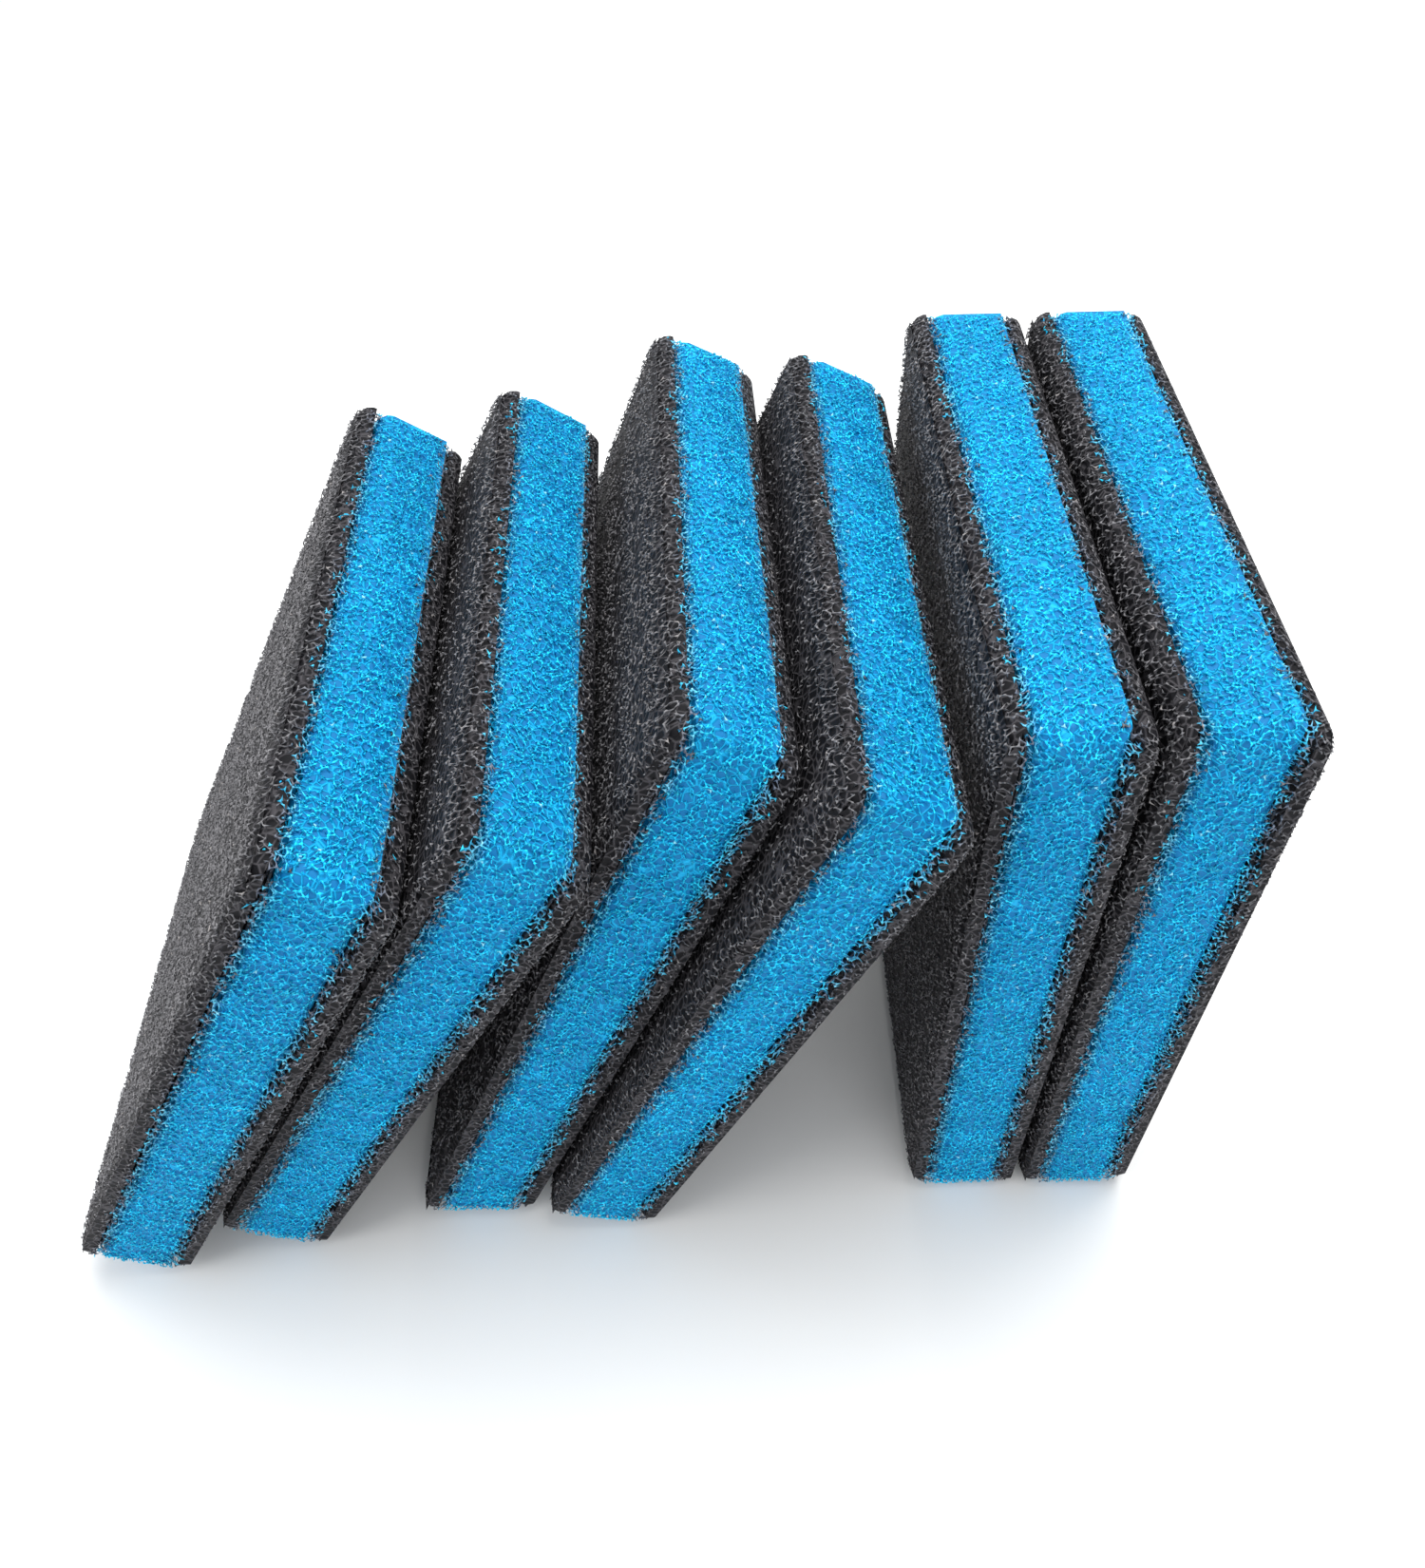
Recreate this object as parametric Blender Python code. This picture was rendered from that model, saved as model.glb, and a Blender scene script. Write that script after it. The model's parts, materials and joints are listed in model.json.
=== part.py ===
"""Six rectangular filter pads, standing in a row on their bottom edges.

Each pad is a sandwich of open-cell foam: a coarse black face, a thick blue
core and a second black face, held together by two thin webs of melt bond.
The last two pads stand upright and the other four lean on them in pairs.

Metres, +Z up.  The row runs along X, the pads stand on Z = 0, and the
origin is at the middle of the row's footprint.

In a pad's own axes X runs through its thickness, with 0 on the right face,
Y runs along its depth, from 0 at the near side, and Z runs up its height.
"""
import math

import bmesh
import bpy
from mathutils import Matrix, Vector

# --- One pad -----------------------------------------------------------------
PAD_HEIGHT = 0.120
PAD_DEPTH = 0.100
FACE_THICKNESS = 0.0033
CORE_THICKNESS = 0.0116
BOND_THICKNESS = 0.0003
FIT_GAP = 0.0003            # between two layers that touch
CORNER_RADIUS = 0.0030      # the pad's four cut corners
RIM_RADIUS = 0.0020         # the worn edge around each outer face
BOND_INSET = 0.0015         # the bond web stops short of the cut edges
MOST_CORNER = 0.48          # a corner takes at most this share of the layer's side
MOST_RIM = 0.67             # and a rim this share of the corner or the thickness

SEAM = BOND_THICKNESS + 2 * FIT_GAP
PAD_THICKNESS = CORE_THICKNESS + 2 * (FACE_THICKNESS + SEAM)

# --- The row -----------------------------------------------------------------
STAND_GAP = 0.0006          # between one pad and the pad it leans on or stands beside

# Each pad's lean to the right, its turn seen from above, its tilt back onto its
# far corner, and how far its near side stands in front of the upright pads'
# near sides.  Left to right.
ROW = [
    ("pad_1", 29.5, 2.0, 0.0, 0.0130),
    ("pad_2", 29.5, 2.0, 0.0, 0.0090),
    ("pad_3", 23.0, 0.7, 2.5, 0.0036),
    ("pad_4", 23.0, 0.7, 0.0, 0.0062),
    ("pad_5", 0.0, 0.0, 0.0, 0.0000),
    ("pad_6", 0.0, 0.0, 0.0, 0.0002),
]

# --- Facets ------------------------------------------------------------------
CORNER_SEGMENTS = 5
RIM_SEGMENTS = 4
SAME_PLACE = 1e-6           # closer than this along an axis is level

# --- Finishes: base colour, roughness ------------------------------------------
FINISHES = {
    "black_foam": ((0.030, 0.027, 0.027, 1.0), 0.75),
    "blue_foam": ((0.004, 0.235, 0.650, 1.0), 0.55),
    "bond_web": ((0.045, 0.050, 0.060, 1.0), 0.40),
}


def clear_scene():
    for old in list(bpy.data.objects):
        bpy.data.objects.remove(old, do_unlink=True)


def new_collection(name):
    collection = bpy.data.collections.new(name)
    bpy.context.scene.collection.children.link(collection)
    return collection


def finish(piece, name):
    """Give a piece a material of its own in one of the named finishes."""
    colour, roughness = FINISHES[name]
    material = bpy.data.materials.new(piece.name + "_" + name)
    material.use_nodes = True
    shader = material.node_tree.nodes["Principled BSDF"]
    shader.inputs["Base Color"].default_value = colour
    shader.inputs["Roughness"].default_value = roughness
    shader.inputs["Metallic"].default_value = 0.0
    piece.data.materials.append(material)


def edges_along_x(bm):
    return [e for e in bm.edges
            if abs(e.verts[0].co.x - e.verts[1].co.x) > SAME_PLACE]


def rim_edges(bm, side):
    """The edges around the big face that points to side, -1 left or +1 right."""
    face = max(bm.faces, key=lambda f: f.normal.x * side)
    return list(face.edges)


def layer(name, frame, collection, left, thickness, inset=0.0, rounded_side=0):
    """One flat layer of a pad, from x = left to left + thickness.

    inset draws its outline in from the pad's, and rounded_side rounds the
    rim of its left (-1) or right (+1) face.
    """
    depth = PAD_DEPTH - 2 * inset
    height = PAD_HEIGHT - 2 * inset
    middle = Vector((left + thickness / 2, PAD_DEPTH / 2, PAD_HEIGHT / 2))

    bm = bmesh.new()
    bmesh.ops.create_cube(bm, size=1.0)
    bmesh.ops.scale(bm, vec=(thickness, depth, height), verts=bm.verts)
    bmesh.ops.translate(bm, vec=middle, verts=bm.verts)

    corner = min(CORNER_RADIUS, MOST_CORNER * depth, MOST_CORNER * height)
    bmesh.ops.bevel(bm, geom=edges_along_x(bm), affect='EDGES', offset=corner,
                    offset_type='OFFSET', segments=CORNER_SEGMENTS, profile=0.5)
    if rounded_side:
        rim = min(RIM_RADIUS, MOST_RIM * thickness, MOST_RIM * corner)
        bmesh.ops.bevel(bm, geom=rim_edges(bm, rounded_side), affect='EDGES',
                        offset=rim, offset_type='OFFSET', segments=RIM_SEGMENTS,
                        profile=0.5, clamp_overlap=True)
    bmesh.ops.recalc_face_normals(bm, faces=bm.faces)

    mesh = bpy.data.meshes.new(name)
    bm.to_mesh(mesh)
    bm.free()
    piece = bpy.data.objects.new(name, mesh)
    piece.parent = frame
    collection.objects.link(piece)
    return piece


def pad(name, frame, collection):
    """A whole pad: five layers, from the right face at x = 0 to the left."""
    right_face = -FACE_THICKNESS
    right_bond = right_face - FIT_GAP - BOND_THICKNESS
    core = right_bond - FIT_GAP - CORE_THICKNESS
    left_bond = core - FIT_GAP - BOND_THICKNESS
    left_face = left_bond - FIT_GAP - FACE_THICKNESS
    pieces = [
        ("_left_face", left_face, FACE_THICKNESS, 0.0, -1, "black_foam"),
        ("_left_bond", left_bond, BOND_THICKNESS, BOND_INSET, 0, "bond_web"),
        ("_core", core, CORE_THICKNESS, 0.0, 0, "blue_foam"),
        ("_right_bond", right_bond, BOND_THICKNESS, BOND_INSET, 0, "bond_web"),
        ("_right_face", right_face, FACE_THICKNESS, 0.0, 1, "black_foam"),
    ]
    for suffix, left, thickness, inset, side, colour in pieces:
        piece = layer(name + suffix, frame, collection, left, thickness, inset, side)
        finish(piece, colour)


def turn(lean, yaw, tilt):
    """The rotation of a pad that leans right, is turned from above and tilts back."""
    return (Matrix.Rotation(math.radians(yaw), 3, 'Z')
            @ Matrix.Rotation(math.radians(lean), 3, 'Y')
            @ Matrix.Rotation(math.radians(-tilt), 3, 'X'))


def corner_middles(pad_turn):
    """The middles of the four rounded corners of a pad's right face, from its foot."""
    return [pad_turn @ Vector((-RIM_RADIUS, depth, height))
            for depth in (CORNER_RADIUS, PAD_DEPTH - CORNER_RADIUS)
            for height in (CORNER_RADIUS, PAD_HEIGHT - CORNER_RADIUS)]


def corner_reach(pad_turn, direction):
    """How far a rounded corner reaches from its middle in a direction."""
    along_face = math.sqrt(max(0.0, 1 - pad_turn.col[0].dot(direction) ** 2))
    return RIM_RADIUS + (CORNER_RADIUS - RIM_RADIUS) * along_face


def foot_height(pad_turn):
    """How high the sharp foot of a pad lies, so that its rounded edge meets the ground."""
    lowest = min(middle.z for middle in corner_middles(pad_turn))
    return corner_reach(pad_turn, Vector((0, 0, -1))) - lowest


def lean_against(pad_turn, y, z, other_foot, other_turn):
    """Where a pad's foot stands so that it just meets the pad on its right."""
    outward = -(other_turn @ Vector((1, 0, 0)))
    on_face = other_foot + other_turn @ Vector((-PAD_THICKNESS, 0, 0))
    reach = corner_reach(pad_turn, outward)
    gaps = [outward.dot(Vector((0, y, z)) + middle - on_face) - reach
            for middle in corner_middles(pad_turn)]
    return Vector((min((STAND_GAP - gap) / outward.x for gap in gaps), y, z))


def place_row():
    """Each pad's foot and turn, worked out from the upright right-hand pad."""
    places = {}
    foot = Vector((0, 0, 0))
    other_turn = None
    for name, lean, yaw, tilt, forward in reversed(ROW):
        pad_turn = turn(lean, yaw, tilt)
        height = foot_height(pad_turn)
        if other_turn is None:
            foot = Vector((0, -forward, height))
        else:
            foot = lean_against(pad_turn, -forward, height, foot, other_turn)
        places[name] = (foot, pad_turn)
        other_turn = pad_turn
    return places


def centre_row(frames, collection):
    """Move the row so that its footprint's middle is at the origin."""
    bpy.context.view_layer.update()
    points = [piece.matrix_world @ vert.co
              for piece in collection.objects if piece.type == 'MESH'
              for vert in piece.data.vertices]
    middle_x = (min(p.x for p in points) + max(p.x for p in points)) / 2
    middle_y = (min(p.y for p in points) + max(p.y for p in points)) / 2
    for frame in frames:
        frame.location -= Vector((middle_x, middle_y, 0))


def build():
    clear_scene()
    collection = new_collection("sponge_filter")
    frames = []
    for name, (foot, pad_turn) in place_row().items():
        frame = bpy.data.objects.new(name + "_frame", None)
        frame.empty_display_size = PAD_THICKNESS
        frame.matrix_world = Matrix.Translation(foot) @ pad_turn.to_4x4()
        collection.objects.link(frame)
        pad(name, frame, collection)
        frames.append(frame)
    centre_row(frames, collection)


build()
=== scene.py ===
"""The looks of six three-layer filter pads: a blue open-cell foam core
between two black open-cell foam faces.

Each layer is made of two pieces.  Its net is the outermost pore or so of the
real foam, strut by strut, cut off flat where the knife went; its deeper struts carry
painted shade and a few carry painted glints.  Its heart is the solid that shows
through the net, painted with the struts further down in painted shade, the holes
between them darker still.
Both are pressed round at the pads' ends, as soft foam is that stands and leans.

Metres throughout.  In a pad's own axes X runs through its thickness from the
left face, Y along its depth from the near side and Z up its height, all from
its lowest corner.  Side -1 is a pad's left and side +1 its right.
"""
import itertools
import json
import math

import bmesh
import bpy
import numpy as np
from mathutils import Matrix, Vector


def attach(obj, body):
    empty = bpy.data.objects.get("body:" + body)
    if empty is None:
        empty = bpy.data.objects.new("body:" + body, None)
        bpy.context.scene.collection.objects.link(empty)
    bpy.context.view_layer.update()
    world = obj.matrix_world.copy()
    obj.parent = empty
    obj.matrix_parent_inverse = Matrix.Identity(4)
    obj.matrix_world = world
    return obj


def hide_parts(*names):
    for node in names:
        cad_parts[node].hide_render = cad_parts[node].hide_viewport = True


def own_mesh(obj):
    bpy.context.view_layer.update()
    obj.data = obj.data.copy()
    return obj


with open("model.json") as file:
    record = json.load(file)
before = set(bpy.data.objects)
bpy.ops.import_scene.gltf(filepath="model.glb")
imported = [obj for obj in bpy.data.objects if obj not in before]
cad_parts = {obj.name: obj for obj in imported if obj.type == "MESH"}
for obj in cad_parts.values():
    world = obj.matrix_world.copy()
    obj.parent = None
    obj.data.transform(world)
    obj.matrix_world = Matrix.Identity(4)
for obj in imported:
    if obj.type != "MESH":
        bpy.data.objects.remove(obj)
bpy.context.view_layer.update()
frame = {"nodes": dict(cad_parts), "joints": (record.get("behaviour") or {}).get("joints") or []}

MM = 0.001
SAME_PLACE = 1e-6               # places and lengths closer than this are the same
NO_LENGTH = 1e-9                # lengths that are divided by stay above this

# --- The pads ---------------------------------------------------------------------
PADS = ["pad_1", "pad_2", "pad_3", "pad_4", "pad_5", "pad_6"]
# The big faces that lie against the next pad all over, so nobody sees their middles.
HIDDEN_FACES = {"pad_1_right_face", "pad_2_left_face", "pad_3_right_face",
                "pad_4_left_face", "pad_5_right_face", "pad_6_left_face"}
CORNER_RADIUS = 3.0 * MM
RIM_RADIUS = 2.0 * MM           # the worn rim of the big faces, at the top
FOOT_RIM_RADIUS = 4.0 * MM      # and at the foot, where it is rounder

MOST_TILT_STEPS = 60            # a pad's tilt in its own plane is looked for in steps
TILT_STEP = 0.1                 # of this many degrees
LEAST_LEAN = 0.05               # a pad leans if its thickness axis drops by more than this share

# How far the end of a pad is pressed round, as (reach in from the face, radius, height over
# which the foam takes it up): the right of a leaning pad's top, that of an upright one's, the
# left of any top, the right of a leaning pad's foot and the outer side of an upright one's.
LEANING_TOP = (8.0 * MM, 10.5 * MM, 15.0 * MM)
UPRIGHT_TOP = (4.3 * MM, 4.6 * MM, 12.0 * MM)
LEFT_TOP = (3.4 * MM, 4.2 * MM, 9.0 * MM)
LEANING_FOOT = (4.0 * MM, 5.0 * MM, 12.0 * MM)
UPRIGHT_FOOT = (5.0 * MM, 5.6 * MM, 12.0 * MM)
# The share of the space under a leaning pad's foot that its foam sags into, and how far up
# the pad that reaches.
FOOT_SAG = {"pad_3": 0.85, "pad_4": 0.35}
SAG_FADE = 32.0 * MM
GIVE_POWER = 1.5                # pressing and sagging fade out along this power

# --- Nets: lattice pitch, strut hub radius, skin depths ---------------------------
BLUE_PITCH = 1.64 * MM          # edge of the lattice cube, which holds two pores
BLACK_PITCH = 1.82 * MM
BLUE_STRUT = 0.165 * MM
BLACK_STRUT = 0.16 * MM
BLUE_SKIN = 0.72 * MM           # how deep the nets go in from the cut rims
BLACK_SKIN = 0.66 * MM
FACE_SKIN = 0.34 * MM           # and in from the big faces
HIDDEN_SKIN = 0.15 * MM         # and in from the big faces that are hidden
STANDING_SKIN = 0.36 * MM       # and up from the edge that the pad stands on
RIM_BAND = 2.6 * MM             # this near the outline a face's net is as deep as the rim's

# --- Seams between blue and black -------------------------------------------------
SEAM_SKIN = 0.65 * MM           # the blue net goes this much deeper at its seams
SEAM_BAND = 1.6 * MM            # the stretch of net that counts as its seam
SEAM_WANDER = 1.30 * MM         # how far a seam strays from a straight line
SEAM_FRAY = 1.25 * MM           # and how far single struts stray from the seam
# A seam wanders in two patterns of crossed waves.  Each has its share of the wander and its two
# waves, given as radians per mm along the depth and up the height.
SEAM_WAVES = ((0.4, (0.31, 0.27), (-0.47, 0.43)),
              (0.7, (0.97, 0.91), (-0.77, 0.83)))
CROSSED_PHASE = 2.1             # the second wave of a pair starts this much later per seed
RIGHT_SEAM_SEED = 5             # sets a pad's right seam apart from its left one

# --- What makes a lattice uneven --------------------------------------------------
FACE_SEEDS = {-1: 10, 1: 30}    # sets the black layers' lattices apart from the blue one
UNEVEN = 0.17                   # how far junctions are scattered, as a share of the pitch
LATTICE_TURN = (0.41, 0.73, 0.29)       # radians about X, Y and Z
LATTICE_TURN_PER_SEED = (0.9, 0.5, 1.3)
# Two waves bend the rows along each axis.  For X, Y and Z in turn, a wave is given as radians
# per mm along the three axes, and its phase as a multiple of the lattice's own.
WIDE_BEND = 0.45                # mm
WIDE_WAVES = ((0, 0.61, 0.37), (0.41, 0, 0.57), (0.63, 0.39, 0))
WIDE_PHASES = (1, 2, 3)
TIGHT_BEND = 0.30               # mm
TIGHT_WAVES = ((-0.71, 0, 0.83), (0.89, -0.67, 0), (0, 0.79, -0.73))
TIGHT_PHASES = (2, 1, 1)
PHASE_PER_SEED = 1.7
# A junction's scatter is the fraction that is left of a sine blown up by a big factor.
SCATTER_PER_CUBE = (12.9898, 78.233, 37.719)
SCATTER_PER_SITE = 7.131
SCATTER_PER_SEED = 3.717
SCATTER_PER_AXIS = (1.0, 1.37, 1.91)
SCATTER_BLOW_UP = 43758.5453
LUCK_SEED = 0.5                 # sets a junction's luck apart from its place
SPARE_CUBES = 2                 # grown past the pad on every side, then left out
LEAST_ARM = 0.12                # an arm that the knife cut keeps at least this share

# --- Hearts -----------------------------------------------------------------------
BLUE_HEART_INSET = 0.62 * MM    # how far the hearts stay inside the cut sides
BLACK_HEART_INSET = 0.58 * MM
FACE_HEART_INSET = 0.38 * MM    # and inside the big faces
SEAM_GAP = 0.10 * MM            # and short of the seams
HEART_BEVEL = 2.20 * MM         # on the blue heart, next to its seams
HEART_RIM = 2.50 * MM           # on the black hearts, around the big faces
HEART_EDGE = 0.30 * MM          # and next to their seams
CORNER_STEPS = 4
BEVEL_STEPS = 3
SMOOTH_ANGLE = 35               # degrees

# --- Finishes ---------------------------------------------------------------------
SEAM_TINT = (0.6, 0.35)         # share of seam colour at a seam: per luck, and for all struts
STRUT_BRIGHTNESS = (0.6, 0.7)   # per luck, and for all struts
PATCH_SCALE = 90.0              # patches a little lighter or darker, per metre
PATCH_DETAIL = 3.0
PATCH_NOISE = (0.3, 0.7)        # this much of the noise
PATCH_BRIGHTNESS = (0.82, 1.12)         # gives this much brightness
BUMP_DEPTH = 0.5 * MM
BUMP_STRENGTH = 0.6

# --- Floor, light and camera ------------------------------------------------------
FLOOR_SIZE = 6.0
FLOOR_COLOUR = (0.90, 0.90, 0.90, 1)
LIGHT_SIZE = 0.6
WARM = (1.0, 0.985, 0.96)
NEUTRAL = (1, 1, 1)
# Name, place, the point that it is turned to, watts and colour.
LIGHTS = (
    ("key", (0.15, 0.20, 0.85), (0, 0, 0.06), 7.5, WARM),
    ("left", (-0.80, -0.25, 0.45), (0, 0, 0.05), 3.5, WARM),
    ("front", (0.25, -0.80, 0.45), (0, 0, 0.05), 1.9, NEUTRAL),
)
SKY_COLOUR = (0.93, 0.97, 1, 1)
SKY_STRENGTH = 0.70
CAMERA_PLACE = (0.0217, -0.1480, 0.2291)
CAMERA_AZIMUTH = -0.47          # degrees, positive turns to the right
CAMERA_PITCH = 48.07            # degrees below level
CAMERA_ROLL = 1.66
CAMERA_LENS = 29.73             # mm
CAMERA_SENSOR = 36.0            # mm


# ===================================================================================
# The pads' places and pressed shape
# ===================================================================================

def pressed_by(from_face, from_end, reach, radius, fade):
    """How far foam at a distance from a face and from an end moves when its edge is pressed."""
    over = np.clip(reach - from_face, 0, reach)
    share = np.clip(1 - from_end / fade, 0, 1)
    return (radius - np.sqrt(radius ** 2 - over ** 2)) * share ** GIVE_POWER


class Pad:
    """A pad's axes, corner and layers, read from its nodes and its squeeze joint."""

    def __init__(self, name, number):
        self.name, self.number = name, number
        squeeze = next(j for j in frame["joints"] if j["name"] == name + "_squeeze")
        self.x = Vector(squeeze["axis"]).normalized()
        self.y, self.z = self.upright_axes()
        self.travel = squeeze["range_m"][1]
        spans = {part: self.span(part) for part in ("left_face", "core", "right_face")}
        low = Vector(min(span[0][i] for span in spans.values()) for i in range(3))
        high = Vector(max(span[1][i] for span in spans.values()) for i in range(3))
        self.size = high - low
        self.seams = ((spans["left_face"][1].x + spans["core"][0].x) / 2 - low.x,
                      (spans["core"][1].x + spans["right_face"][0].x) / 2 - low.x)
        turn = Matrix((self.x, self.y, self.z)).transposed()
        self.matrix = turn.to_4x4() @ Matrix.Translation(low)
        self.leans = -self.x.z > LEAST_LEAN

    def points(self, part):
        return [v.co for v in frame["nodes"][f"{self.name}_{part}"].data.vertices]

    def upright_axes(self):
        """The pad's depth and height axes: of all turns, the one that boxes it closest."""
        level = Vector((0, 0, 1)).cross(self.x).normalized()
        steep = self.x.cross(level)
        points = self.points("core")
        best = None
        for step in range(-MOST_TILT_STEPS, MOST_TILT_STEPS + 1):
            turn = Matrix.Rotation(math.radians(step * TILT_STEP), 3, self.x)
            y, z = turn @ level, turn @ steep
            along_y, along_z = ([p.dot(axis) for p in points] for axis in (y, z))
            area = (max(along_y) - min(along_y)) * (max(along_z) - min(along_z))
            if best is None or area < best[0]:
                best = (area, y, z)
        return best[1], best[2]

    def span(self, part):
        """A layer's lowest and highest corner along the pad's own axes."""
        points = self.points(part)
        along = [[p.dot(axis) for p in points] for axis in (self.x, self.y, self.z)]
        return Vector(min(a) for a in along), Vector(max(a) for a in along)

    def pressed(self, points):
        """An array of points along the pad's axes, moved by the pressing and the sagging."""
        x, y, z = points[..., 0], points[..., 1], points[..., 2]
        from_right, from_top = self.size.x - x, self.size.z - z
        right_top = LEANING_TOP if self.leans else UPRIGHT_TOP
        lift = -pressed_by(from_right, from_top, *right_top)
        lift -= pressed_by(x, from_top, *LEFT_TOP)
        if self.leans:
            lift += pressed_by(from_right, z, *LEANING_FOOT)
        else:
            outer = from_right if self.name + "_left_face" in HIDDEN_FACES else x
            lift += pressed_by(outer, z, *UPRIGHT_FOOT)
        lift -= self.space_under(x, y) * self.sag_share(z)
        return np.stack([x, y, z + lift], axis=-1)

    def space_under(self, x, y):
        """How far down the pad's Z the table is from its foot."""
        rise = self.matrix.row[2]
        foot = self.matrix.translation.z + rise[0] * x + rise[1] * y
        return np.maximum(foot / rise[2], 0)

    def sag_share(self, z):
        return FOOT_SAG.get(self.name, 0.0) * np.clip(1 - z / SAG_FADE, 0, 1) ** GIVE_POWER

    def to_world(self, points):
        """An array of points from the pad's axes to the scene's."""
        turn = np.array(self.matrix.to_3x3())
        return self.pressed(points) @ turn.T + np.array(self.matrix.translation)


# ===================================================================================
# The pads' cut shape, before it is pressed
# ===================================================================================

def rim_distance(pad, points):
    """Distance outside the pad's rounded outline, negative within it."""
    half_y, half_z = pad.size.y / 2, pad.size.z / 2
    y = np.abs(points[..., 1] - half_y) - half_y + CORNER_RADIUS
    z = np.abs(points[..., 2] - half_z) - half_z + CORNER_RADIUS
    round_part = np.hypot(np.maximum(y, 0), np.maximum(z, 0))
    return round_part + np.minimum(np.maximum(y, z), 0) - CORNER_RADIUS


def face_distance(pad, points):
    """Distance outside the nearer big face, negative between the two."""
    half = pad.size.x / 2
    return np.abs(points[..., 0] - half) - half


def cut_depth(pad, points):
    """How far a point is inside the pad, with its rims worn round."""
    towards_foot = 1 - np.clip(points[..., 2] / pad.size.z, 0, 1)
    radius = RIM_RADIUS + (FOOT_RIM_RADIUS - RIM_RADIUS) * towards_foot
    rim = rim_distance(pad, points) + radius
    face = face_distance(pad, points) + radius
    round_part = np.hypot(np.maximum(rim, 0), np.maximum(face, 0))
    return radius - round_part - np.minimum(np.maximum(rim, face), 0)


def skin_depth(points, skin):
    """How deep a net goes in, which is less just above the edge that the pad stands on."""
    return np.where(points[..., 2] < skin, STANDING_SKIN, skin)


def seam_line(pad, points, side):
    """Where along X the seam on one side runs, level with each point."""
    seed = pad.number if side < 0 else pad.number + RIGHT_SEAM_SEED
    y, z = points[..., 1] / MM, points[..., 2] / MM
    wander = np.zeros(y.shape)
    for share, first, second in SEAM_WAVES:
        one = np.sin(first[0] * y + first[1] * z + seed)
        other = np.sin(second[0] * y + second[1] * z + CROSSED_PHASE * seed)
        wander += share * one * other
    straight = pad.seams[0] if side < 0 else pad.seams[1]
    return straight + SEAM_WANDER * wander


# ===================================================================================
# The foam's lattice
# ===================================================================================

def foam_sites():
    """The twelve junctions in one cube of the foam's lattice, and each one's four
    neighbours as (cube step, site), ordered so that all turn the same way."""
    sites = []
    for quarter in (0.25, 0.75):
        for order in itertools.permutations(range(3)):
            site = [0.0, 0.0, 0.0]
            site[order[0]], site[order[1]], site[order[2]] = 0.0, quarter, 0.5
            sites.append(site)
    sites = np.array(sites)
    arm_length = math.sqrt(2) / 4
    neighbours = []
    for here in sites:
        found = []
        for step in itertools.product((-1, 0, 1), repeat=3):
            for index, there in enumerate(sites):
                arm = there + np.array(step) - here
                if abs(np.linalg.norm(arm) - arm_length) < SAME_PLACE:
                    found.append((step, index, arm))
        arms = np.array([f[2] for f in found])
        if np.linalg.det(arms[1:] - arms[0]) < 0:
            found[2], found[3] = found[3], found[2]
        neighbours.append([(f[0], f[1]) for f in found])
    return sites, neighbours


SITES, NEIGHBOURS = foam_sites()


def scatter(cubes, site, seed):
    """A repeatable random offset, about -0.5 to 0.5 in each axis, for each junction."""
    key = cubes @ np.array(SCATTER_PER_CUBE) + site * SCATTER_PER_SITE + seed * SCATTER_PER_SEED
    return np.stack([np.mod(np.sin(key * factor) * SCATTER_BLOW_UP, 1.0) - 0.5
                     for factor in SCATTER_PER_AXIS], axis=-1)


def bend(points, seed):
    """The offset that bends the lattice's rows, so that they don't show."""
    spot = points / MM
    phase = seed * PHASE_PER_SEED
    wide = np.sin(spot @ np.array(WIDE_WAVES).T + phase * np.array(WIDE_PHASES))
    tight = np.sin(spot @ np.array(TIGHT_WAVES).T + phase * np.array(TIGHT_PHASES))
    return MM * (WIDE_BEND * wide + TIGHT_BEND * tight)


class Lattice:
    """A foam of even pores, turned away from the pad's axes and made uneven."""

    def __init__(self, pitch, seed):
        self.pitch, self.seed = pitch, seed
        turn = Matrix.Identity(3)
        for axis, start, more in zip("XYZ", LATTICE_TURN, LATTICE_TURN_PER_SEED):
            turn = turn @ Matrix.Rotation(start + more * seed, 3, axis)
        self.turn = np.array(turn)

    def places(self, cubes, site):
        spot = cubes + SITES[site] + UNEVEN * scatter(cubes, site, self.seed)
        spot = (spot * self.pitch) @ self.turn.T
        return spot + bend(spot, self.seed)

    def cubes_near(self, size, keep):
        """Cubes whose middle is where keep says, in a box of some size at the origin."""
        corners = np.array(list(itertools.product(*((0, length) for length in size))))
        reach = (corners @ self.turn) / self.pitch
        first = np.floor(reach.min(axis=0)).astype(int) - SPARE_CUBES
        last = np.ceil(reach.max(axis=0)).astype(int) + SPARE_CUBES
        found = []
        for i in range(first[0], last[0] + 1):
            j, k = np.meshgrid(np.arange(first[1], last[1] + 1),
                               np.arange(first[2], last[2] + 1), indexing='ij')
            cubes = np.stack([np.full(j.size, i), j.ravel(), k.ravel()], axis=-1).astype(float)
            middle = ((cubes + 0.5) * self.pitch) @ self.turn.T
            found.append(cubes[keep(middle)])
        return np.concatenate(found)


# ===================================================================================
# Nets of struts
# ===================================================================================

# A star of struts has four hub corners and four arm tips.  Hub corner i lies opposite arm i,
# and each arm's tip stands on the other three corners.
HUB_RINGS = ((1, 2, 3), (0, 3, 2), (0, 1, 3), (0, 2, 1))
STAR_TRIANGLES = np.array([[ring[a], ring[b], 4 + arm] for arm, ring in enumerate(HUB_RINGS)
                           for a, b in ((0, 1), (1, 2), (2, 0))])
STAR_POINTS = 8


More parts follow.
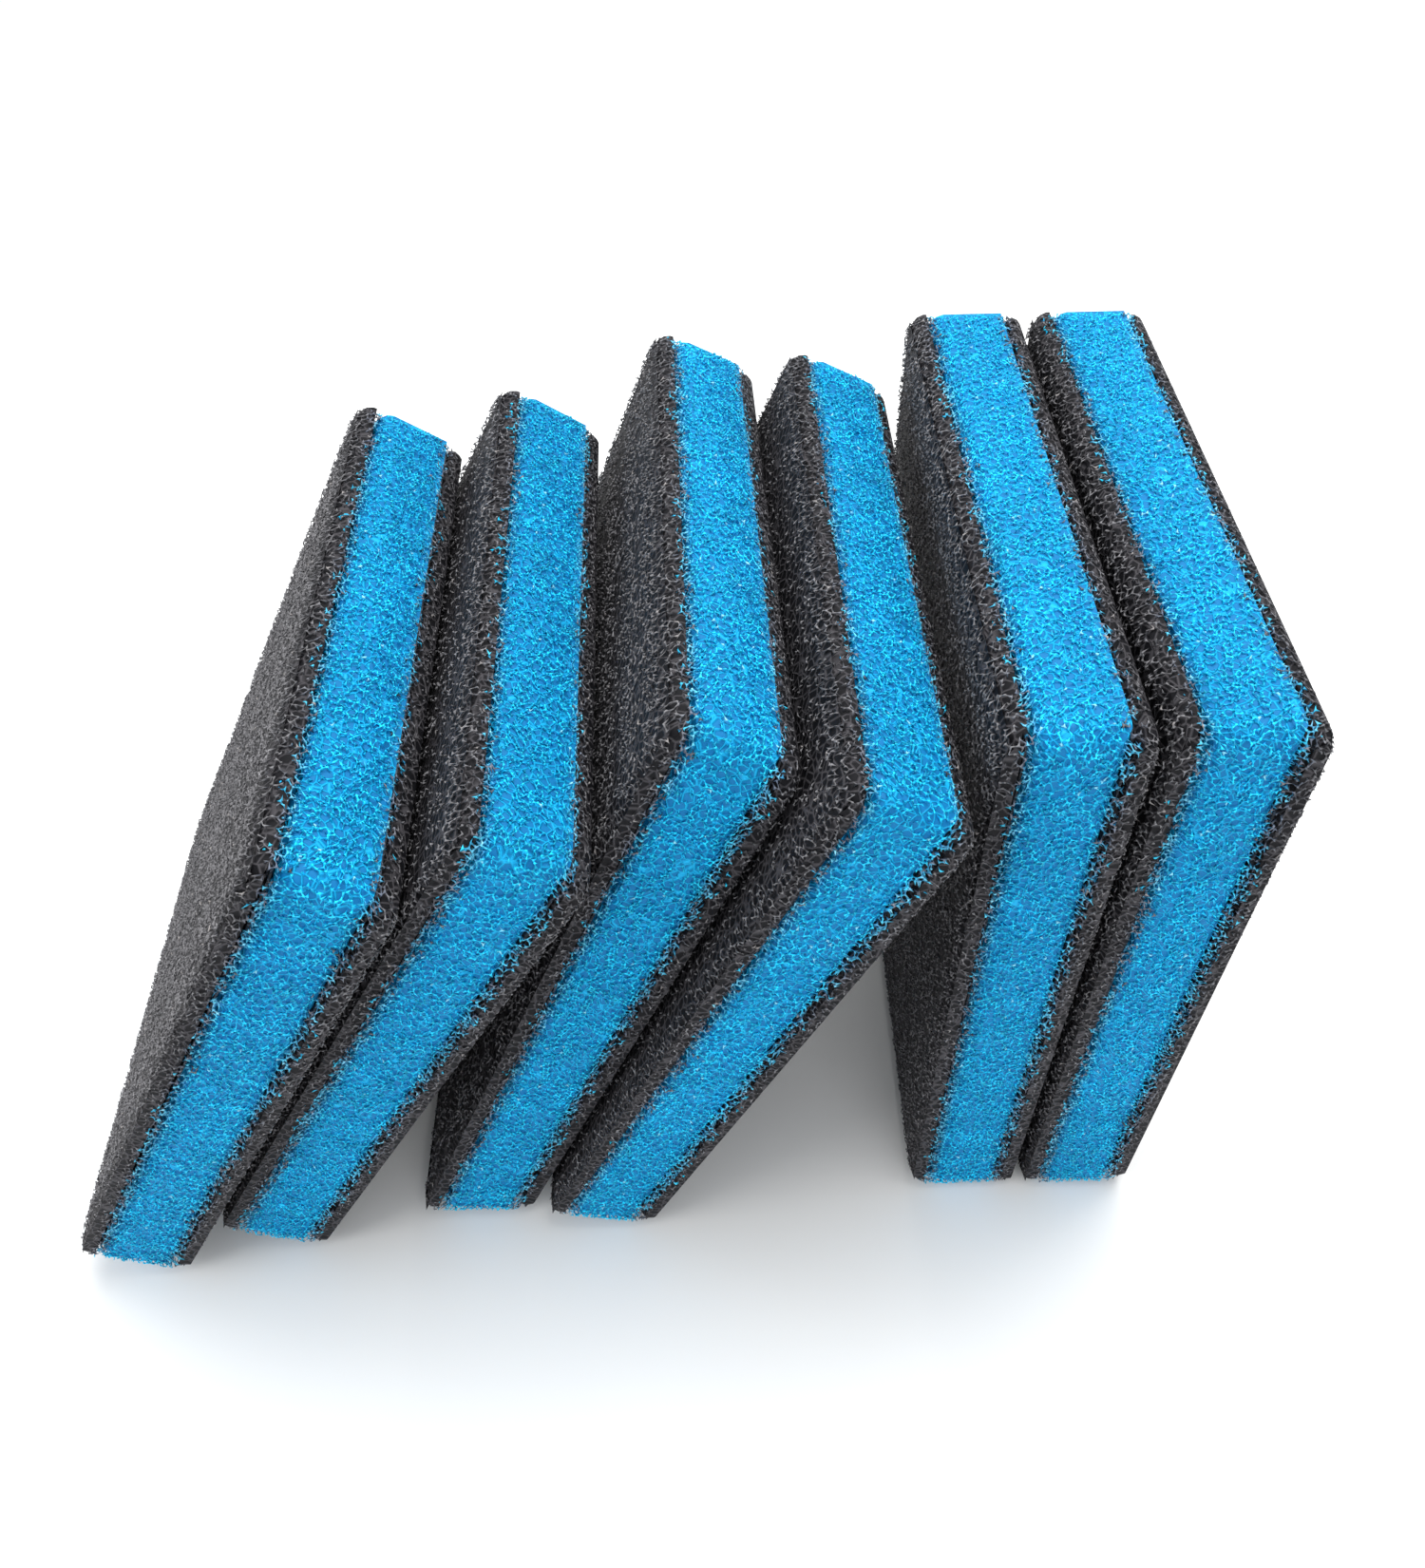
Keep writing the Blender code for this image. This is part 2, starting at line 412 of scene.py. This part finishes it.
def strut_net(pad, lattice, cubes_where, wanted, radius):
    """One small star for each wanted junction: vertices, triangles and, for each
    vertex, its depth below the cut surface and its junction's luck from 0 to 1.

    cubes_where picks the lattice cubes by their middles, and wanted picks the
    junctions in them by their place and luck.  An arm that would cross the cut
    surface is cut off there.
    """
    cubes = lattice.cubes_near(pad.size, cubes_where)
    verts, tris, depths, lucks, count = [], [], [], [], 0
    for site in range(len(SITES)):
        hub = lattice.places(cubes, site)
        luck = scatter(cubes, site, lattice.seed + LUCK_SEED)
        chosen = wanted(hub, luck[:, 0])
        here, hub, luck = cubes[chosen], hub[chosen], luck[chosen, 1] + 0.5
        inside = cut_depth(pad, hub)
        tips, corners = [], []
        for step, other in NEIGHBOURS[site]:
            far = lattice.places(here + np.array(step, dtype=float), other)
            arm = far - hub
            outside = cut_depth(pad, far)
            cut = inside / np.maximum(inside - outside, NO_LENGTH)
            share = np.where(outside < 0, cut, 1.0)
            tips.append(hub + arm * np.clip(share, LEAST_ARM, 1.0)[:, None])
            length = np.linalg.norm(arm, axis=1, keepdims=True)
            corners.append(hub - radius * arm / np.maximum(length, NO_LENGTH))
        stars = np.stack(corners + tips, axis=1).reshape(-1, 3)
        first = count + STAR_POINTS * np.arange(len(hub))
        verts.append(stars)
        tris.append((first[:, None, None] + STAR_TRIANGLES[None]).reshape(-1, 3))
        depths.append(np.maximum(cut_depth(pad, stars), 0))
        lucks.append(np.repeat(luck, STAR_POINTS))
        count += len(stars)
    return [np.concatenate(each) for each in (verts, tris, depths, lucks)]


def net_piece(name, pad, net):
    """A mesh piece of a strut net, which keeps each point's depth, luck and seam."""
    points, tris, depths, lucks = net
    left, right = pad.seams
    to_seam = np.minimum(np.abs(points[:, 0] - left), np.abs(points[:, 0] - right))
    seams = np.clip(1 - to_seam / SEAM_BAND, 0, 1)
    mesh = bpy.data.meshes.new(name)
    mesh.vertices.add(len(points))
    mesh.vertices.foreach_set("co", pad.to_world(points).astype(np.float32).ravel())
    mesh.loops.add(tris.size)
    mesh.loops.foreach_set("vertex_index", tris.astype(np.int32).ravel())
    mesh.polygons.add(len(tris))
    mesh.polygons.foreach_set("loop_start", np.arange(0, tris.size, 3, dtype=np.int32))
    mesh.polygons.foreach_set("loop_total", np.full(len(tris), 3, dtype=np.int32))
    mesh.update(calc_edges=True)
    for label, values in (("depth", depths), ("luck", lucks), ("seam", seams)):
        layer = mesh.attributes.new(label, 'FLOAT', 'POINT')
        layer.data.foreach_set("value", values.astype(np.float32))
    piece = bpy.data.objects.new(name, mesh)
    bpy.context.scene.collection.objects.link(piece)
    return piece


def blue_net(pad):
    """The net of the core: its four cut sides, from seam to seam."""
    lattice = Lattice(BLUE_PITCH, seed=pad.number)
    left, right = pad.seams

    def wanted(points, luck):
        x = points[..., 0]
        fray = 2 * SEAM_FRAY * luck
        near_seam = np.minimum(x - left, right - x) < SEAM_BAND
        skin = skin_depth(points, BLUE_SKIN + SEAM_SKIN * near_seam)
        return ((cut_depth(pad, points) > 0) & (rim_distance(pad, points) > -skin)
                & (x > seam_line(pad, points, -1) + fray)
                & (x < seam_line(pad, points, 1) + fray))

    def cubes_where(points):
        rim, x = rim_distance(pad, points), points[..., 0]
        spare = BLUE_PITCH
        return ((rim > -BLUE_SKIN - SEAM_SKIN - spare) & (rim < spare)
                & (x > left - spare) & (x < right + spare))

    net = strut_net(pad, lattice, cubes_where, wanted, BLUE_STRUT)
    return net_piece(pad.name + "_core_net", pad, net)


def black_net(pad, label, side):
    """The net of a black layer: its cut sides and its big face."""
    lattice = Lattice(BLACK_PITCH, seed=pad.number + FACE_SEEDS[side])
    face_skin = HIDDEN_SKIN if f"{pad.name}_{label}" in HIDDEN_FACES else FACE_SKIN

    def in_layer(points, spare):
        return side * (points[..., 0] - seam_line(pad, points, side)) > -spare

    def in_skin(points, spare=0.0):
        depth = cut_depth(pad, points)
        near_rim = rim_distance(pad, points) > -RIM_BAND - spare
        skin = skin_depth(points, np.where(near_rim, BLACK_SKIN, face_skin))
        return (depth > -spare) & (depth < skin + spare)

    def wanted(points, luck):
        return in_skin(points) & in_layer(points, 2 * SEAM_FRAY * luck)

    def cubes_where(points):
        spare = BLACK_PITCH
        return in_skin(points, spare) & in_layer(points, spare)

    net = strut_net(pad, lattice, cubes_where, wanted, BLACK_STRUT)
    return net_piece(f"{pad.name}_{label}_net", pad, net)


# ===================================================================================
# Hearts
# ===================================================================================

def bevel_edges(mesh, chosen, width, steps):
    """Bevel the edges that chosen picks by their two ends, in edit mode."""
    bpy.ops.mesh.select_all(action='DESELECT')
    bm = bmesh.from_edit_mesh(mesh)
    for edge in bm.edges:
        edge.select = chosen(*(v.co for v in edge.verts))
    bm.select_flush_mode()
    bmesh.update_edit_mesh(mesh)
    bpy.ops.mesh.bevel(offset=width, segments=steps, affect='EDGES')


def heart(pad, label, left, right, inset, bevel_left, bevel_right):
    """A bevelled block that shows through the net, from x = left to right."""
    bpy.ops.object.select_all(action='DESELECT')
    bpy.ops.mesh.primitive_cube_add(size=1.0)
    piece = bpy.context.object
    piece.name = f"{pad.name}_{label}_heart"
    piece.data.name = piece.name
    size = Vector((right - left, pad.size.y - 2 * inset, pad.size.z - 2 * inset))
    middle = Vector(((left + right) / 2, pad.size.y / 2, pad.size.z / 2))
    piece.data.transform(Matrix.Translation(middle) @ Matrix.Diagonal(size.to_4d()))
    bpy.ops.object.mode_set(mode='EDIT')
    bevel_edges(piece.data, lambda a, b: abs(a.x - b.x) > SAME_PLACE,
                CORNER_RADIUS - inset / 2, CORNER_STEPS)
    for x, width in ((left, bevel_left), (right, bevel_right)):
        bevel_edges(piece.data, lambda a, b: max(abs(a.x - x), abs(b.x - x)) < SAME_PLACE,
                    width, BEVEL_STEPS)
    bpy.ops.object.mode_set(mode='OBJECT')
    points = np.array([v.co for v in piece.data.vertices])
    piece.data.vertices.foreach_set("co", pad.to_world(points).astype(np.float32).ravel())
    piece.data.update()
    bpy.ops.object.shade_smooth_by_angle(angle=math.radians(SMOOTH_ANGLE))
    return piece


def blue_heart(pad):
    left, right = pad.seams
    return heart(pad, "core", left + SEAM_GAP, right - SEAM_GAP, BLUE_HEART_INSET,
                 HEART_BEVEL, HEART_BEVEL)


def black_heart(pad, label, side):
    left, right = pad.seams
    if side < 0:
        return heart(pad, label, FACE_HEART_INSET, left - SEAM_GAP,
                     BLACK_HEART_INSET, HEART_RIM, HEART_EDGE)
    return heart(pad, label, right + SEAM_GAP, pad.size.x - FACE_HEART_INSET,
                 BLACK_HEART_INSET, HEART_EDGE, HEART_RIM)


# ===================================================================================
# Materials
# ===================================================================================

COLOUR, NUMBER = 'NodeSocketColor', 'NodeSocketFloat'


def new_group(label, given, put_out):
    """A node group with named inputs, each with a first value, and named outputs."""
    tree = bpy.data.node_groups.new(label, 'ShaderNodeTree')
    for name, kind, value in given:
        socket = tree.interface.new_socket(name, in_out='INPUT', socket_type=kind)
        socket.default_value = value
    for name, kind in put_out:
        tree.interface.new_socket(name, in_out='OUTPUT', socket_type=kind)
    inputs = tree.nodes.new('NodeGroupInput').outputs
    outputs = tree.nodes.new('NodeGroupOutput').inputs
    return tree, inputs, outputs


def feed(tree, sockets, values):
    """Set each named socket to a value, or link it to the socket that is given for it."""
    for label, value in values.items():
        if isinstance(value, bpy.types.NodeSocket):
            tree.links.new(value, sockets[label])
        else:
            sockets[label].default_value = value


def calculate(tree, operation, *values):
    node = tree.nodes.new('ShaderNodeMath')
    node.operation = operation
    feed(tree, node.inputs, dict(enumerate(values)))
    return node.outputs[0]


def rescale(tree, smooth=False, **values):
    """A value taken from one range to another, each input of the node given as From_Min and
    so on."""
    node = tree.nodes.new('ShaderNodeMapRange')
    if smooth:
        node.interpolation_type = 'SMOOTHSTEP'
    feed(tree, node.inputs, {k.replace("_", " "): v for k, v in values.items()})
    return node.outputs['Result']


def mix_colours(tree, share, first, second):
    node = tree.nodes.new('ShaderNodeMix')
    node.data_type = 'RGBA'
    feed(tree, node.inputs, {'Factor': share, 'A': first, 'B': second})
    return node.outputs['Result']


def kept_with_net(tree, label):
    """One of the values that a net keeps for each of its points."""
    node = tree.nodes.new('ShaderNodeAttribute')
    node.attribute_name = label
    return node.outputs['Fac']


def pore_group():
    """Struts and holes further down in the foam, the holes coloured as painted shade."""
    tree, given, result = new_group("Foam pores", (
        ("Strut colour", COLOUR, (0.5, 0.5, 0.5, 1)),
        ("Hole colour", COLOUR, (0, 0, 0, 1)),
        ("Pore size", NUMBER, 0.0014),
        ("Strut width", NUMBER, 0.12)), (("Colour", COLOUR), ("Height", NUMBER)))
    where = tree.nodes.new('ShaderNodeTexCoord').outputs['Object']
    cells = tree.nodes.new('ShaderNodeTexVoronoi')
    cells.feature = 'DISTANCE_TO_EDGE'
    pores_per_metre = calculate(tree, 'DIVIDE', 1.0, given["Pore size"])
    feed(tree, cells.inputs, {'Vector': where, 'Scale': pores_per_metre})
    strut = rescale(tree, smooth=True, Value=cells.outputs['Distance'], From_Min=0.0,
                    From_Max=given["Strut width"], To_Min=1.0, To_Max=0.0)
    colour = mix_colours(tree, strut, given["Hole colour"], given["Strut colour"])
    feed(tree, result, {"Colour": colour, "Height": strut})
    return tree


def strut_group():
    """Struts that darken with depth as painted shade, take a tint at the seams, differ one from
    another and carry painted glints here and there."""
    tree, given, result = new_group("Foam struts", (
        ("Strut colour", COLOUR, (0.5, 0.5, 0.5, 1)),
        ("Deep colour", COLOUR, (0.1, 0.1, 0.1, 1)),
        ("Glint colour", COLOUR, (0.8, 0.8, 0.8, 1)),
        ("Seam colour", COLOUR, (0.5, 0.5, 0.5, 1)),
        ("Skin depth", NUMBER, 0.001),
        ("Glint share", NUMBER, 0.05)), (("Colour", COLOUR),))
    depth, luck, seam = (kept_with_net(tree, label) for label in ("depth", "luck", "seam"))

    # Painted shade: struts further below the cut surface are coloured darker, towards the deep
    # shade colour.
    shade_share = rescale(tree, Value=depth, From_Max=given["Skin depth"])
    shaded_colour = mix_colours(tree, shade_share, given["Strut colour"], given["Deep colour"])

    tint = calculate(tree, 'MULTIPLY', seam, calculate(tree, 'MULTIPLY_ADD', luck, *SEAM_TINT))
    tinted = mix_colours(tree, tint, shaded_colour, given["Seam colour"])

    patches = tree.nodes.new('ShaderNodeTexNoise')
    where = tree.nodes.new('ShaderNodeTexCoord').outputs['Object']
    feed(tree, patches.inputs, {'Vector': where, 'Scale': PATCH_SCALE, 'Detail': PATCH_DETAIL})
    patch = rescale(tree, Value=patches.outputs['Fac'],
                    From_Min=PATCH_NOISE[0], From_Max=PATCH_NOISE[1],
                    To_Min=PATCH_BRIGHTNESS[0], To_Max=PATCH_BRIGHTNESS[1])
    own = calculate(tree, 'MULTIPLY_ADD', luck, *STRUT_BRIGHTNESS)
    uneven = tree.nodes.new('ShaderNodeVectorMath')
    uneven.operation = 'SCALE'
    brightness = calculate(tree, 'MULTIPLY', own, patch)
    feed(tree, uneven.inputs, {0: tinted, 'Scale': brightness})

    # Painted highlights: the few struts with the least luck take the pale glint colour.
    glints = calculate(tree, 'LESS_THAN', luck, given["Glint share"])
    colour = mix_colours(tree, glints, uneven.outputs['Vector'], given["Glint colour"])
    feed(tree, result, {"Colour": colour})
    return tree


PORES = pore_group()
STRUTS = strut_group()


def blank_material(name, roughness, specular):
    material = bpy.data.materials.new(name)
    material.use_nodes = True
    shader = material.node_tree.nodes["Principled BSDF"]
    shader.inputs['Roughness'].default_value = roughness
    shader.inputs['Specular IOR Level'].default_value = specular
    return material, shader


def place_group(material, group_tree, values):
    """A node group in a material, with its inputs given as Strut_colour and so on."""
    group = material.node_tree.nodes.new('ShaderNodeGroup')
    group.node_tree = group_tree
    feed(material.node_tree, group.inputs, {k.replace("_", " "): v for k, v in values.items()})
    return group.outputs


def net_material(name, roughness, specular, **values):
    material, shader = blank_material(name, roughness, specular)
    struts = place_group(material, STRUTS, values)
    feed(material.node_tree, shader.inputs, {'Base Color': struts["Colour"]})
    return material


def heart_material(name, roughness, specular, **values):
    material, shader = blank_material(name, roughness, specular)
    pores = place_group(material, PORES, values)
    bump = material.node_tree.nodes.new('ShaderNodeBump')
    feed(material.node_tree, bump.inputs, {
        'Distance': BUMP_DEPTH, 'Strength': BUMP_STRENGTH, 'Height': pores["Height"]})
    feed(material.node_tree, shader.inputs, {
        'Base Color': pores["Colour"], 'Normal': bump.outputs['Normal']})
    return material


# Each net's deep shade colour is painted shade on its deeper struts, and its glint colour a
# painted highlight on a few struts.
BLUE_NET = net_material(
    "Blue foam struts", roughness=0.35, specular=0.28,
    Strut_colour=(0.012, 0.680, 0.980, 1),
    Deep_colour=(0.004, 0.365, 0.740, 1), Glint_colour=(0.30, 0.80, 1.00, 1),
    Seam_colour=(0.20, 0.48, 0.64, 1), Skin_depth=BLUE_SKIN, Glint_share=0.012)
BLACK_NET = net_material(
    "Black foam struts", roughness=0.55, specular=0.25,
    Strut_colour=(0.212, 0.208, 0.220, 1),
    Deep_colour=(0.043, 0.045, 0.054, 1), Glint_colour=(0.34, 0.32, 0.32, 1),
    Seam_colour=(0.15, 0.19, 0.27, 1), Skin_depth=BLACK_SKIN, Glint_share=0.015)
# The hearts' strut colours are the foam's own blue and black, darkened as painted shade of the
# depth that they stand for; their shaded hole colours are painted shade in the holes.
BLUE_HEART = heart_material(
    "Blue foam within", roughness=0.6, specular=0.2,
    Strut_colour=(0.006, 0.440, 0.810, 1),
    Hole_colour=(0.001, 0.175, 0.430, 1), Pore_size=1.30 * MM, Strut_width=0.16)
BLACK_HEART = heart_material(
    "Black foam within", roughness=0.7, specular=0.2,
    Strut_colour=(0.060, 0.057, 0.064, 1),
    Hole_colour=(0.004, 0.004, 0.006, 1), Pore_size=1.45 * MM, Strut_width=0.18)
# The bond web's holes are painted shade too.
BOND = heart_material(
    "Bond web", roughness=0.5, specular=0.3,
    Strut_colour=(0.060, 0.080, 0.110, 1),
    Hole_colour=(0.010, 0.014, 0.020, 1), Pore_size=1.45 * MM, Strut_width=0.2)


# ===================================================================================
# Putting the pads together
# ===================================================================================

def set_up(piece, material, body, node):
    piece.data.materials.clear()
    piece.data.materials.append(material)
    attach(piece, body)
    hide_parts(node)


def make_pad(name, number):
    pad = Pad(name, number)
    for side, label, body in ((-1, "left_face", name + "_squeezed_face"),
                              (1, "right_face", name)):
        node = f"{name}_{label}"
        set_up(black_net(pad, label, side), BLACK_NET, body, node)
        set_up(black_heart(pad, label, side), BLACK_HEART, body, node)
    for piece, material in ((blue_net(pad), BLUE_NET), (blue_heart(pad), BLUE_HEART)):
        set_up(piece, material, name, name + "_core")
        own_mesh(piece)
    for label in ("left_bond", "right_bond"):
        web = frame["nodes"][f"{name}_{label}"]
        web.data.materials.clear()
        web.data.materials.append(BOND)


# ===================================================================================
# Floor, light and camera
# ===================================================================================

def make_floor():
    bpy.ops.mesh.primitive_plane_add(size=FLOOR_SIZE, location=(0, 0, 0))
    floor = bpy.context.object
    floor.name = "floor"
    material, shader = blank_material("Pale floor", roughness=0.8, specular=0.3)
    shader.inputs['Base Color'].default_value = FLOOR_COLOUR
    floor.data.materials.append(material)


def area_light(name, place, aim, power, colour):
    data = bpy.data.lights.new(name, 'AREA')
    data.shape = 'SQUARE'
    data.size = LIGHT_SIZE
    data.energy = power
    data.color = colour
    light = bpy.data.objects.new(name, data)
    light.location = place
    light.rotation_euler = (Vector(aim) - Vector(place)).to_track_quat('-Z', 'Y').to_euler()
    bpy.context.scene.collection.objects.link(light)


def make_lights():
    for light in LIGHTS:
        area_light(*light)
    world = bpy.data.worlds.new("Studio")
    bpy.context.scene.world = world
    world.use_nodes = True
    sky = world.node_tree.nodes["Background"]
    sky.inputs['Color'].default_value = SKY_COLOUR
    sky.inputs['Strength'].default_value = SKY_STRENGTH
    bpy.context.scene.view_settings.view_transform = 'Standard'


def make_camera():
    azimuth, pitch, roll = (math.radians(a) for a in (CAMERA_AZIMUTH, CAMERA_PITCH, CAMERA_ROLL))
    ahead = Vector((math.sin(azimuth) * math.cos(pitch),
                    math.cos(azimuth) * math.cos(pitch), -math.sin(pitch)))
    right = Vector((math.cos(azimuth), -math.sin(azimuth), 0))
    up = right.cross(ahead)
    turned_right = right * math.cos(roll) - up * math.sin(roll)
    turned_up = right * math.sin(roll) + up * math.cos(roll)
    data = bpy.data.cameras.new("camera")
    data.lens = CAMERA_LENS
    data.sensor_width = CAMERA_SENSOR
    camera = bpy.data.objects.new("camera", data)
    turn = Matrix((turned_right, turned_up, -ahead)).transposed()
    camera.matrix_world = Matrix.Translation(CAMERA_PLACE) @ turn.to_4x4()
    bpy.context.scene.collection.objects.link(camera)
    bpy.context.scene.camera = camera


make_camera()
make_lights()
make_floor()
for number, name in enumerate(PADS, start=1):
    make_pad(name, number)
